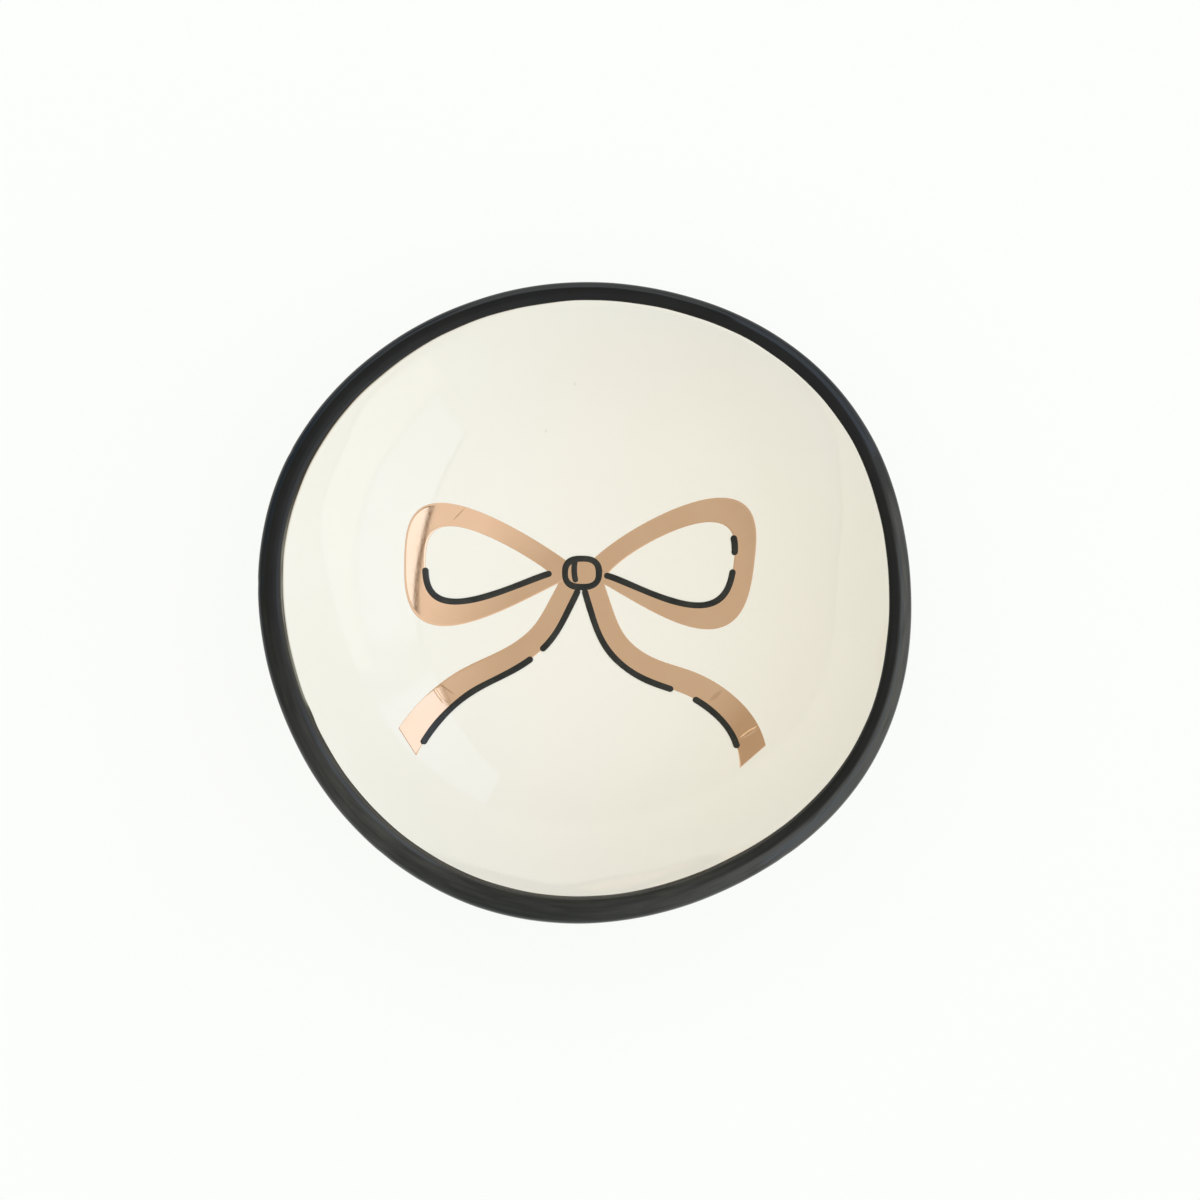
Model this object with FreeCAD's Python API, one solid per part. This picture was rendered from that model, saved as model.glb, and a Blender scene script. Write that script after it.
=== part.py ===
import FreeCAD, Part
import os
from math import atan, atan2, cos, hypot, pi, radians, sin, sqrt

# Ring dish: a small hand-shaped bowl of fired clay on a foot ring. It is glazed cream inside and
# out, has a black band painted over its lip, and carries a gold ribbon bow with black ink lines,
# printed on its floor. Millimetres, +Z up. The origin is on the table under the dish's middle.

# Fired clay
RIM_RADIUS = 51.0  # mean radius of the lip's outer edge, over the black band
HEIGHT = 28.0  # mean height of the lip's top, over the black band
WALL = 3.4  # clay alone
FLAT_RADIUS = 8.0  # level middle of the floor
FLOOR_CLEARANCE = 2.4  # table to the clay under the floor's middle
BOWL_CURVE = 2.4  # 1 gives a straight cone, 2 a parabola
FOOT_RADIUS = 25.0  # outer edge of the foot ring
FOOT_WIDTH = 3.0
FOOT_FILLET = 1.5  # where the foot ring joins the bowl, on both its sides
FOOT_ROUND = 0.5  # the two edges that stand on the table
FOOT_BARE = 0.9  # height of the clay left bare above the table

# Unevenness of the shaped lip: (lobes in a turn, share of the height, direction of a lobe in degrees)
RIM_LOBE = 0.52  # how far the largest lobe stands out
RIM_LOBES = ((1, 1.00, 46), (3, 0.65, 35), (4, 0.69, -31), (5, 0.33, -35), (6, 0.23, -24))
LIP_WAVE = 0.40  # how far the largest wave lifts the lip
LIP_WAVES = ((2, 1.00, 110), (3, 0.75, 20))

# Glazes
GLAZE = 0.30  # cream coats
BAND = 0.40  # black band
BAND_INSIDE = 0.20  # how far the band comes down the inner wall from the lip's round, on average
BAND_INSIDE_LEAN = 0.75  # how much wider it is on one side, and narrower on the other
BAND_OUTSIDE = 4.0  # how far the band comes down the outer wall from the lip's round, on average
BAND_OUTSIDE_LEAN = 0.6
BAND_WIDE_SIDE = 240  # direction in degrees

# Bow, measured from the middle of its knot. Its left side is drawn as a right one and then mirrored
BOW_X = -0.4
BOW_Y = 8.5
KNOT_WIDTH = 5.4
KNOT_HEIGHT = 4.6
KNOT_SQUARENESS = 2.6  # 2 gives an oval, more a squarer outline
LOOP_LENGTH = {"left": 28.1, "right": 27.4}
LOOP_TOP = {"left": 9.4, "right": 10.3}  # height of a loop over the line through its middle
LOOP_LOW = {"left": 10.0, "right": 10.3}  # and its depth under that line
LOOP_TILT = 2.5  # degrees that the line lifts towards the loop's end
LOOP_LEAN = {"left": 0.02, "right": 0.16}  # how far a loop's top leans out, as a share of its height
LOOP_TOP_BLUNTNESS = {"left": 0.85, "right": 0.50}  # 0 gives an oval, more moves the widest part outwards
LOOP_LOW_BLUNTNESS = 1.3
LOOP_SQUARENESS = 1.35  # 1 gives a round end, more a squarer one
LOOP_RIBBON = 3.3  # width of the gold ribbon over the space in a loop and at the loop's end
LOOP_RIBBON_LOW = 4.2  # and under that space
HOLE_START = {"left": 5.0, "right": 4.0}  # from the knot's middle to the point of the space in a loop
HOLE_DROP = {"left": 0.3, "right": 0.65}  # that point, under the line through the loop's middle
TAIL_RIBBON = 3.3  # at the knot
TAIL_RIBBON_END = 4.4
TAIL_CROSS = 0.5  # how far a tail starts back towards the other one, under the knot
TAIL_ROUTE = {  # middle of a tail
    "left": ((3.75, -5.4), (6.2, -9.6), (11.0, -13.7), (18.3, -17.8), (22.7, -21.7), (27.9, -30.2)),
    "right": (
        (2.95, -5.45), (5.4, -11.2), (10.8, -15.6), (17.1, -18.1),
        (22.0, -21.5), (25.2, -25.6), (26.9, -33.0),
    ),
}
TAIL_SLANT = 0.07  # share of the tail that its outer edge is cut shorter by
GOLD = 0.10  # thickness of the gold

# Ink lines: stretches of the inner edge of a loop's or a tail's ribbon, as shares of that edge
INK = 0.18  # thickness of the ink
INK_WIDTH = 1.0
INK_CLEARANCE = 0.1  # added to the space between the two tails at the knot
LOOP_LINES = {
    "left": {"ink_loop": (0.034, 0.470)},
    "right": {"ink_loop": (0.006, 0.470), "ink_loop_end": (0.532, 0.578)},
}
TAIL_LINES = {
    "left": {"ink_tail": (0.036, 0.303), "ink_tail_end": (0.372, 0.930)},
    "right": {"ink_tail": (0.039, 0.555), "ink_tail_end": (0.660, 0.905)},
}
CREASE = ((-0.40, 0.91), (-0.46, 0.20), (-0.39, -0.48))  # shares of the knot's half sizes
CREASE_WIDTH = 0.9

# Fineness of the drawing
STATIONS = 36  # directions in which the dish's profile is drawn
WALL_STEPS = 14
EDGE_CROWDING = 1.6  # above 1, steps up the inner wall shorten towards the band
LIP_STEPS = 14
ARC_STEPS = 8
OUTLINE_STEPS = 32

half_wall = WALL / 2
lip_radius = half_wall + BAND
end_r = RIM_RADIUS - lip_radius  # where the middle of the wall ends, inside the lip's round
end_z = HEIGHT - lip_radius
floor_z = FLOOR_CLEARANCE + half_wall
reach = end_r - FLAT_RADIUS
rise = end_z - floor_z
wall_per_share = hypot(reach, rise * BOWL_CURVE)  # near the lip
foot_inner = FOOT_RADIUS - FOOT_WIDTH
directions = [360 * i / STATIONS for i in range(STATIONS)]


def vector(x, y, z=0.0):
    return FreeCAD.Vector(x, y, z)


def spread(start, end, steps):
    return [start + (end - start) * i / steps for i in range(steps + 1)]


def waves(size, lobes, direction):
    return size * sum(share * cos(count * radians(direction - first)) for count, share, first in lobes)


# Profiles of the dish: (radius, height) points in one direction, on the clay or on a coat over it


def wall_normal(share):
    slope = rise * BOWL_CURVE * share ** (BOWL_CURVE - 1)
    length = hypot(reach, slope)
    return -slope / length, reach / length


def wall_point(share, inwards):
    """A point beside the middle of the wall, which runs from the floor at 0 to the lip at 1."""
    normal_r, normal_z = wall_normal(share)
    radius = FLAT_RADIUS + reach * share + inwards * normal_r
    height = floor_z + rise * share**BOWL_CURVE + inwards * normal_z
    return radius, height


def lip_point(turn, outwards):
    """A point on the lip's round, from the inner wall at 0 to the outer wall at a half turn."""
    normal_r, normal_z = wall_normal(1.0)
    angle = atan2(normal_z, normal_r) - turn
    return end_r + outwards * cos(angle), end_z + outwards * sin(angle)


def band_end(direction, width, lean):
    """The share of the wall where the black band ends. Past 1 it ends on the lip's round."""
    return 1 - (width + lean * cos(radians(direction - BAND_WIDE_SIDE))) / wall_per_share


def inside_point(share, coat):
    """A point up the inner wall and, past a share of 1, on over the lip's round."""
    if share <= 1:
        return wall_point(share, half_wall + coat)
    return lip_point((share - 1) * wall_per_share / lip_radius, half_wall + coat)


def inner_profile(direction, coat):
    last = band_end(direction, BAND_INSIDE, BAND_INSIDE_LEAN)
    shares = [last * (1 - (1 - step) ** EDGE_CROWDING) for step in spread(0.0, 1.0, WALL_STEPS)]
    return [inside_point(share, coat) for share in shares]


def lip_profile(direction, coat):
    inner_end = band_end(direction, BAND_INSIDE, BAND_INSIDE_LEAN)
    round_end = 1 + pi * lip_radius / wall_per_share
    outer_end = band_end(direction, BAND_OUTSIDE, BAND_OUTSIDE_LEAN)
    over = [inside_point(share, coat) for share in spread(inner_end, round_end, LIP_STEPS)]
    outside = [wall_point(share, -half_wall - coat) for share in spread(1.0, outer_end, ARC_STEPS)]
    return over + outside[1:]


def fillet_share(radius):
    """The share of the wall below which the fillet's centre is this far from the axis."""
    low, high = 0.0, 1.0
    for _ in range(60):
        share = (low + high) / 2
        if wall_point(share, -half_wall - FOOT_FILLET)[0] < radius:
            low = share
        else:
            high = share
    return share


def fillet_points(share, foot_angle, coat):
    """From under the wall to the side of the foot ring, which the fillet meets at foot_angle."""
    centre_r, centre_z = wall_point(share, -half_wall - FOOT_FILLET)
    normal_r, normal_z = wall_normal(share)
    radius = FOOT_FILLET - coat
    turns = spread(atan2(normal_z, normal_r), foot_angle, ARC_STEPS)
    return [(centre_r + radius * cos(turn), centre_z + radius * sin(turn)) for turn in turns]


def outer_profile(direction, coat):
    first = band_end(direction, BAND_OUTSIDE, BAND_OUTSIDE_LEAN)
    last = fillet_share(FOOT_RADIUS + FOOT_FILLET)
    wall = [wall_point(share, -half_wall - coat) for share in spread(first, last, WALL_STEPS)[:-1]]
    return wall + fillet_points(last, pi, coat) + [(FOOT_RADIUS + coat, FOOT_BARE)]


def base_profile(direction, coat):
    last = fillet_share(foot_inner - FOOT_FILLET)
    wall = [wall_point(share, -half_wall - coat) for share in spread(0.0, last, WALL_STEPS)[:-1]]
    return wall + fillet_points(last, 0.0, coat) + [(foot_inner - coat, FOOT_BARE)]


def foot_profile(radius, side):
    """Bare clay from the glaze's edge to the face on the table. side is 1 outside the ring, else -1."""
    centre_r = radius - side * FOOT_ROUND
    edge = []
    for turn in spread(0.0, pi / 2, ARC_STEPS):
        edge.append((centre_r + side * FOOT_ROUND * cos(turn), FOOT_ROUND - FOOT_ROUND * sin(turn)))
    return [(radius, FOOT_BARE)] + edge


# Curves and surfaces drawn through points


def placed(point, direction):
    """The point in space, moved by the unevenness that grows from the foot ring to the lip."""
    radius, height = point
    share = min(1.0, max(0.0, (radius - FOOT_RADIUS) / (end_r - FOOT_RADIUS)))
    eased = share * share * (3 - 2 * share)
    radius += eased * waves(RIM_LOBE, RIM_LOBES, direction)
    height += eased * waves(LIP_WAVE, LIP_WAVES, direction)
    turn = radians(direction)
    return vector(radius * cos(turn), radius * sin(turn), height)


def path_lengths(points):
    lengths = [0.0]
    for before, after in zip(points, points[1:]):
        lengths.append(lengths[-1] + before.distanceToPoint(after))
    return lengths


def curve_through(points, parameters):
    curve = Part.BSplineCurve()
    curve.interpolate(Points=points, Parameters=parameters)
    return curve


def open_curve(points):
    return curve_through(points, path_lengths(points))


def closed_curve(points):
    curve = Part.BSplineCurve()
    evenly = [float(i) for i in range(len(points) + 1)]
    curve.interpolate(Points=points, Parameters=evenly, PeriodicFlag=True)
    return curve


def ring_surface(profile, lift=0.0):
    """The surface that a profile makes round the dish. profile gives its points in a direction."""
    raised = vector(0, 0, lift)
    sections = [[placed(point, d) + raised for point in profile(d)] for d in directions]
    lengths = path_lengths(sections[0])
    curves = [curve_through(section, lengths) for section in sections]
    rings = [closed_curve(list(poles)) for poles in zip(*[curve.getPoles() for curve in curves])]
    surface = Part.BSplineSurface()
    surface.buildFromPolesMultsKnots(
        list(zip(*[ring.getPoles() for ring in rings])),
        rings[0].getMultiplicities(),
        curves[0].getMultiplicities(),
        rings[0].getKnots(),
        curves[0].getKnots(),
        True,
        False,
        rings[0].Degree,
        curves[0].Degree,
    )
    return surface.toShape()


def end_surface(profile, end, thickness):
    """The narrow face that closes a coat at the first or last point of its profile."""
    return ring_surface(lambda d: [profile(d, 0.0)[end], profile(d, thickness)[end]])


def disc(radius, height):
    """A level round face about the axis."""
    ring = closed_curve([placed((radius, height), d) for d in directions])
    return Part.Face(Part.Wire(ring.toShape()))


def closed_solid(faces):
    sewn = Part.makeCompound(faces)
    sewn.sewShape()
    solid = Part.makeSolid(sewn.Shells[0])
    if solid.Volume < 0:
        solid.reverse()
    return solid


# Clay and glazes


def clay_body():
    foot_face = disc(FOOT_RADIUS - FOOT_ROUND, 0.0).cut(disc(foot_inner + FOOT_ROUND, 0.0))
    faces = [
        disc(FLAT_RADIUS, floor_z + half_wall),
        ring_surface(lambda d: inner_profile(d, 0.0)),
        ring_surface(lambda d: lip_profile(d, 0.0)),
        ring_surface(lambda d: outer_profile(d, 0.0)),
        ring_surface(lambda d: foot_profile(FOOT_RADIUS, 1)),
        foot_face.Faces[0],
        ring_surface(lambda d: foot_profile(foot_inner, -1)),
        ring_surface(lambda d: base_profile(d, 0.0)),
        disc(FLAT_RADIUS, floor_z - half_wall),
    ]
    return closed_solid(faces)


def ring_coat(profile, thickness):
    """A ring of glaze on the clay, along one profile."""
    faces = [
        ring_surface(lambda d: profile(d, 0.0)),
        ring_surface(lambda d: profile(d, thickness)),
        end_surface(profile, 0, thickness),
        end_surface(profile, -1, thickness),
    ]
    return closed_solid(faces)


def floor_coat(profile, thickness, side):
    """A coat that also covers the floor's level middle. side is 1 over the floor and -1 under it."""
    faces = [
        disc(FLAT_RADIUS, floor_z + side * half_wall),
        disc(FLAT_RADIUS, floor_z + side * (half_wall + thickness)),
        ring_surface(lambda d: profile(d, 0.0)),
        ring_surface(lambda d: profile(d, thickness)),
        end_surface(profile, -1, thickness),
    ]
    return closed_solid(faces)


# Outlines of the bow seen from above, each side as a right one


def loop_point(turn, side, start, end, top, low):
    """A point on a drop-shaped outline that runs from start to end and back along a loop."""
    half, bluntness = (low, LOOP_LOW_BLUNTNESS) if turn < pi else (top, LOOP_TOP_BLUNTNESS[side])
    widest_turn = 2 * atan(sqrt(1 + bluntness))
    widest = sin(widest_turn) * sin(widest_turn / 2) ** bluntness
    across = -half * sin(turn) * sin(turn / 2) ** bluntness / widest
    along = start + (end - start) * (1 - ((1 + cos(turn)) / 2) ** LOOP_SQUARENESS)
    along += across * LOOP_LEAN[side]
    tilt = radians(LOOP_TILT)
    return vector(along * cos(tilt) - across * sin(tilt), along * sin(tilt) + across * cos(tilt))


def loop_edge(turn, side):
    return loop_point(turn, side, 0.0, LOOP_LENGTH[side], LOOP_TOP[side], LOOP_LOW[side])


def hole_edge(turn, side):
    end = LOOP_LENGTH[side] - LOOP_RIBBON
    top = LOOP_TOP[side] - LOOP_RIBBON
    low = LOOP_LOW[side] - LOOP_RIBBON_LOW
    drop = HOLE_DROP[side] * (1 + cos(turn)) / 2
    return loop_point(turn, side, HOLE_START[side], end, top, low) - vector(0, drop)


def drop_face(edge, side):
    points = [edge(turn, side) for turn in spread(0.0, 2 * pi, OUTLINE_STEPS)]
    return Part.Face(Part.Wire(open_curve(points).toShape()))


def loop_face(side):
    return drop_face(loop_edge, side).cut(drop_face(hole_edge, side))


def tail_edge(side, edge_side):
    """One edge of a tail's ribbon. edge_side is 1 on its outer edge and -1 on its inner edge."""
    aside = (TAIL_RIBBON + INK_WIDTH + INK_CLEARANCE) / 2 - TAIL_CROSS
    start = vector(aside, -KNOT_HEIGHT / 4)
    route = open_curve([start] + [vector(x, y) for x, y in TAIL_ROUTE[side]])
    last = 1 - TAIL_SLANT if edge_side > 0 else 1.0
    edge = []
    for share in spread(0.0, last, OUTLINE_STEPS):
        at = share * route.LastParameter
        along = route.tangent(at)[0]
        half = (TAIL_RIBBON + (TAIL_RIBBON_END - TAIL_RIBBON) * share) / 2
        edge.append(route.value(at) + vector(-along.y, along.x) * edge_side * half)
    return edge


def tail_face(side):
    outer = tail_edge(side, 1)
    inner = tail_edge(side, -1)
    edges = [
        open_curve(outer),
        Part.LineSegment(outer[-1], inner[-1]),
        open_curve(inner[::-1]),
        Part.LineSegment(inner[0], outer[0]),
    ]
    return Part.Face(Part.Wire([edge.toShape() for edge in edges]))


def knot_face(grow=0.0):
    """A squarish oval, drawn this much larger all round."""
    across = KNOT_WIDTH / 2 + grow
    up = KNOT_HEIGHT / 2 + grow
    points = []
    for turn in spread(0.0, 2 * pi, OUTLINE_STEPS)[:-1]:
        powers = abs(cos(turn)) ** KNOT_SQUARENESS + abs(sin(turn)) ** KNOT_SQUARENESS
        size = powers ** (1 / KNOT_SQUARENESS)
        points.append(vector(across * cos(turn) / size, up * sin(turn) / size))
    return Part.Face(Part.Wire(closed_curve(points).toShape()))


def stroke_face(points, width):
    """An ink line of even width with round ends."""
    line = open_curve(points)
    left = []
    right = []
    for at in spread(0.0, line.LastParameter, OUTLINE_STEPS):
        along = line.tangent(at)[0]
        aside = vector(-along.y, along.x) * width / 2
        left.append(line.value(at) + aside)
        right.append(line.value(at) - aside)
    start = points[0] - line.tangent(0.0)[0] * width / 2
    end = points[-1] + line.tangent(line.LastParameter)[0] * width / 2
    edges = [
        open_curve(left),
        Part.Arc(left[-1], end, right[-1]),
        open_curve(right[::-1]),
        Part.Arc(right[0], start, left[0]),
    ]
    return Part.Face(Part.Wire([edge.toShape() for edge in edges]))


def crease_face():
    points = [vector(x * KNOT_WIDTH / 2, y * KNOT_HEIGHT / 2) for x, y in CREASE]
    return stroke_face(points, CREASE_WIDTH)


def loop_line_face(side, first, last):
    points = [hole_edge(2 * pi * share, side) for share in spread(first, last, OUTLINE_STEPS)]
    return stroke_face(points, INK_WIDTH)


def tail_line_face(side, first, last):
    edge = open_curve(tail_edge(side, -1))
    points = [edge.value(share * edge.LastParameter) for share in spread(first, last, OUTLINE_STEPS)]
    return stroke_face(points, INK_WIDTH)


# Prints, cut by those outlines from a thin layer over the inner glaze


def print_layer(thickness):
    floor = disc(FLAT_RADIUS, floor_z + half_wall + GLAZE)
    lift = vector(0, 0, thickness)
    upper_edge = [placed(inner_profile(d, GLAZE)[-1], d) for d in directions]
    low = closed_curve(upper_edge).toShape()
    high = closed_curve([point + lift for point in upper_edge]).toShape()
    faces = [
        floor,
        floor.translated(lift),
        ring_surface(lambda d: inner_profile(d, GLAZE)),
        ring_surface(lambda d: inner_profile(d, GLAZE), thickness),
        Part.makeRuledSurface(low, high),
    ]
    return closed_solid(faces)


def printed(face, layer):
    outline = face.translated(vector(BOW_X, BOW_Y))
    return outline.extrude(vector(0, 0, HEIGHT)).common(layer)


def turned(face, side):
    """The outline on its own side of the bow."""
    return face if side == "right" else face.mirror(vector(0, 0), vector(1, 0))


def bow_pieces():
    """Ink lines, and the gold that meets them edge to edge."""
    knot_line = knot_face(INK_WIDTH / 2).cut(knot_face(-INK_WIDTH / 2))
    crease = crease_face().cut(knot_line)
    ink = print_layer(INK)
    gold = print_layer(GOLD)
    pieces = {
        "ink_knot": printed(knot_line, ink),
        "ink_crease": printed(crease, ink),
        "bow_knot": printed(knot_face().cut([knot_line, crease]), gold),
    }
    for side in ("left", "right"):
        lines = {}
        for name, shares in LOOP_LINES[side].items():
            lines[name] = loop_line_face(side, *shares).cut(knot_line)
        for name, shares in TAIL_LINES[side].items():
            lines[name] = tail_line_face(side, *shares).cut(knot_line)
        over_gold = [knot_face(), knot_line, *lines.values()]
        loop = loop_face(side).cut(over_gold)
        tail = tail_face(side).cut([loop_face(side), *over_gold])
        for name, face in lines.items():
            pieces[f"{name}_{side}"] = printed(turned(face, side), ink)
        pieces[f"bow_loop_{side}"] = printed(turned(loop, side), gold)
        pieces[f"bow_tail_{side}"] = printed(turned(tail, side), gold)
    return pieces


def main():
    pieces = {
        "clay_body": clay_body(),
        "inner_glaze": floor_coat(inner_profile, GLAZE, 1),
        "base_glaze": floor_coat(base_profile, GLAZE, -1),
        "outer_glaze": ring_coat(outer_profile, GLAZE),
        "rim_band": ring_coat(lip_profile, BAND),
    }
    pieces.update(bow_pieces())
    os.makedirs("parts", exist_ok=True)
    for name, shape in pieces.items():
        shape.exportStep(f"parts/{name}.step")
        print(name, len(shape.Solids), "solid, valid", shape.isValid(), f"{shape.Volume:.2f} mm3")


main()
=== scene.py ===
from math import atan, pi, radians, sin, sqrt

import bmesh
import bpy
import numpy as np
from mathutils import Matrix, Vector


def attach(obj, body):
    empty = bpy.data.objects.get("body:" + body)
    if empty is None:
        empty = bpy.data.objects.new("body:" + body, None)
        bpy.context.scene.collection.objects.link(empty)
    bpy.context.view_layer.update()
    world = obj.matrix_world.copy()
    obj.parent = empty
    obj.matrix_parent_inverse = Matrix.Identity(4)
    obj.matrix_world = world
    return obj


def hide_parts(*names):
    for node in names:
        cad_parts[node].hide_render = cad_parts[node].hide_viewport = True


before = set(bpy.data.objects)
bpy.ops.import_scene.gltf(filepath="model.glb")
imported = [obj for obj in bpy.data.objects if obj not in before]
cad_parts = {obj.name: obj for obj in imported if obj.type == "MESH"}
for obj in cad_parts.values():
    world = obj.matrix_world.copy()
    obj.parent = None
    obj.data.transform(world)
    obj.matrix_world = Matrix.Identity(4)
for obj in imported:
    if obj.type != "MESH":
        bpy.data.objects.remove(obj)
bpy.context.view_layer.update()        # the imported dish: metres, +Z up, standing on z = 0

print("frame loaded with", len(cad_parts), "nodes")

# the dish's form, from the same sizes and formulas as its solids
dish = {
    "rimRadius": 0.0510,  # lip's outer edge, over the band
    "height": 0.0280,
    "wall": 0.0034,
    "flatRadius": 0.0080,  # level middle of the floor
    "floorClearance": 0.0024,
    "bowlCurve": 2.4,
    "footRadius": 0.0250,
    "footWidth": 0.0030,
    "footFillet": 0.0015,
    "footRound": 0.0005,
    "footBare": 0.0009,
    "rimLobe": 0.00052,
    "rimLobes": ((1, 1.00, 46), (3, 0.65, 35), (4, 0.69, -31), (5, 0.33, -35), (6, 0.23, -24)),
    "lipWave": 0.00040,
    "lipWaves": ((2, 1.00, 110), (3, 0.75, 20)),
    "glaze": 0.00030,
    "band": 0.00040,
    "turnSteps": 360,
}
halfWall = dish["wall"] / 2
lipRadius = halfWall + dish["band"]
endR = dish["rimRadius"] - lipRadius  # the wall's middle ends here, inside the lip's round
endZ = dish["height"] - lipRadius
floorZ = dish["floorClearance"] + halfWall
reach = endR - dish["flatRadius"]
rise = endZ - floorZ
wallPerShare = np.hypot(reach, rise * dish["bowlCurve"])  # metres of wall for a share of 1, near the lip
lipEnd = 1 + pi * lipRadius / wallPerShare  # path where the lip's round meets the outer wall
footInner = dish["footRadius"] - dish["footWidth"]
turns = np.linspace(0, 2 * pi, dish["turnSteps"], endpoint=False)[:, None]


def span(start, end, steps, crowd=1.0):
    along = 1 - (1 - np.linspace(0, 1, steps + 1)) ** crowd  # above 1, steps shorten towards the end
    return start + (end - start) * along


def smooth(value):
    clipped = np.clip(value, 0, 1)
    return clipped * clipped * (3 - 2 * clipped)


def nearTurn(turn, degrees, width):
    # 1 at a direction, fading over a width in degrees
    away = (np.degrees(turn) - degrees + 180) % 360 - 180
    return np.exp(-((away / width) ** 2))


def atTurns(turn, marks):
    # marks round the dish: direction and width in degrees, and size
    return sum(size * nearTurn(turn, degrees, width) for degrees, width, size in marks)


def waves(size, lobes, turn):
    return size * sum(share * np.cos(count * (turn - radians(first))) for count, share, first in lobes)


def wallNormal(share):
    slope = rise * dish["bowlCurve"] * share ** (dish["bowlCurve"] - 1)
    length = np.hypot(reach, slope)
    return -slope / length, reach / length


def wallPoint(share, inwards):
    normalR, normalZ = wallNormal(share)
    radius = dish["flatRadius"] + reach * share + inwards * normalR
    return radius, floorZ + rise * share ** dish["bowlCurve"] + inwards * normalZ


def lipPoint(turn, outwards):
    normalR, normalZ = wallNormal(1.0)
    angle = np.arctan2(normalZ, normalR) - turn
    return endR + outwards * np.cos(angle), endZ + outwards * np.sin(angle)


def insidePoint(path, offset):
    # up the inner wall, then over the lip's round where path passes 1
    wallR, wallZ = wallPoint(np.minimum(path, 1), offset)
    lipR, lipZ = lipPoint(np.maximum(path - 1, 0) * wallPerShare / lipRadius, offset)
    return np.where(path <= 1, wallR, lipR), np.where(path <= 1, wallZ, lipZ)


def unevenness(radius, turn):
    share = smooth((radius - dish["footRadius"]) / (endR - dish["footRadius"]))
    outwards = share * waves(dish["rimLobe"], dish["rimLobes"], turn)
    up = share * waves(dish["lipWave"], dish["lipWaves"], turn)
    return outwards, up


def placed(radius, height, turn=turns):
    # points in space, with the unevenness that grows from the foot ring to the lip
    outwards, up = unevenness(radius, turn)
    turn = np.broadcast_to(turn, np.shape(radius))
    grown = radius + outwards
    return np.stack([grown * np.cos(turn), grown * np.sin(turn), height + up], axis=-1)


def placedRows(section):
    # the same section at every turn
    return placed(*[np.broadcast_to(values, (len(turns), len(values))) for values in section])


def beside(*parts):
    # parts of a section, one after another
    return np.concatenate(parts, axis=1)


# soft marks that the maker's hand left in the floor and the walls
handMarks = {
    "ripples": (  # wavelength, direction in degrees, height
        (0.031, 24, 0.000030),
        (0.023, 103, 0.000024),
        (0.017, 61, 0.000014),
        (0.013, 158, 0.000009),
    ),
    "ringSpacing": 0.0052,
    "ringHeight": 0.0000025,
}


def ripple(x, y):
    total = handMarks["ringHeight"] * np.cos(2 * pi * np.hypot(x, y) / handMarks["ringSpacing"])
    for wavelength, direction, height in handMarks["ripples"]:
        along = x * np.cos(radians(direction)) + y * np.sin(radians(direction))
        total = total + height * np.sin(2 * pi * along / wavelength + direction)
    return total


def rippled(points, share=1.0):
    lifted = points.copy()
    lifted[..., 2] += share * ripple(points[..., 0], points[..., 1])
    return lifted


# mesh helpers
def gridIndex(points):
    # numbers for points that stand in rows and columns
    rows, columns = points.shape[:2]
    return np.arange(rows * columns).reshape(rows, columns)


def gridFaces(index, wrapRows, wrapColumns):
    rows, columns = index.shape
    faces = []
    for i in range(rows if wrapRows else rows - 1):
        for j in range(columns if wrapColumns else columns - 1):
            k, m = (i + 1) % rows, (j + 1) % columns
            corners = dict.fromkeys((index[i, j], index[k, j], index[k, m], index[i, m]))
            if len(corners) > 2:  # a quad whose corners meet becomes a triangle or nothing
                faces.append([int(corner) for corner in corners])
    return faces


def addPiece(name, points, faces, nodes, material, masks=None):
    used, compact = np.unique(np.concatenate([np.array(face) for face in faces]), return_inverse=True)
    sizes = np.cumsum([len(face) for face in faces])[:-1]
    mesh = bpy.data.meshes.new(name)
    mesh.from_pydata(points[used].tolist(), [], [part.tolist() for part in np.split(compact, sizes)])
    for maskName, values in (masks or {}).items():
        mask = mesh.attributes.new(maskName, "FLOAT", "POINT")
        mask.data.foreach_set("value", values[used].astype(np.float32))
    shaped = bmesh.new()
    shaped.from_mesh(mesh)
    bmesh.ops.recalc_face_normals(shaped, faces=shaped.faces)
    shaped.to_mesh(mesh)
    shaped.free()
    mesh.shade_smooth()
    mesh.materials.append(material)
    piece = bpy.data.objects.new(name, mesh)
    bpy.context.scene.collection.objects.link(piece)
    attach(piece, "root")
    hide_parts(*nodes)


def spin(name, outline, nodes, material, onAxis, masks=None):
    # outline: for each turn, the points round the piece's section, from axis to axis or in a closed loop
    index = gridIndex(outline)
    if onAxis:
        index[:, 0] = index[0, 0]
        index[:, -1] = index[0, -1]
    flatMasks = {key: np.broadcast_to(values, index.shape).ravel() for key, values in (masks or {}).items()}
    faces = gridFaces(index, True, not onAxis)
    addPiece(name, outline.reshape(-1, 3), faces, nodes, material, flatMasks)


# shader helpers
def feed(tree, socket, value):
    # a link from another node, or a plain value
    if isinstance(value, bpy.types.NodeSocket):
        tree.links.new(value, socket)
    else:
        socket.default_value = value


def addNode(tree, kind, inputs=None, **settings):
    made = tree.nodes.new("ShaderNode" + kind)
    for key, value in settings.items():
        setattr(made, key, value)
    for key, value in (inputs or {}).items():
        feed(tree, made.inputs[key], value)
    return made


def mathNode(tree, operation, *values):
    return addNode(tree, "Math", dict(enumerate(values)), operation=operation).outputs[0]


def times(tree, first, second):
    return mathNode(tree, "MULTIPLY", first, second)


def ramp(tree, value, low, high, toLow=0.0, toHigh=1.0):
    # runs from toLow to toHigh while the value runs from low to high
    inputs = {"Value": value, "From Min": low, "From Max": high, "To Min": toLow, "To Max": toHigh}
    return addNode(tree, "MapRange", inputs).outputs[0]


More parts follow.
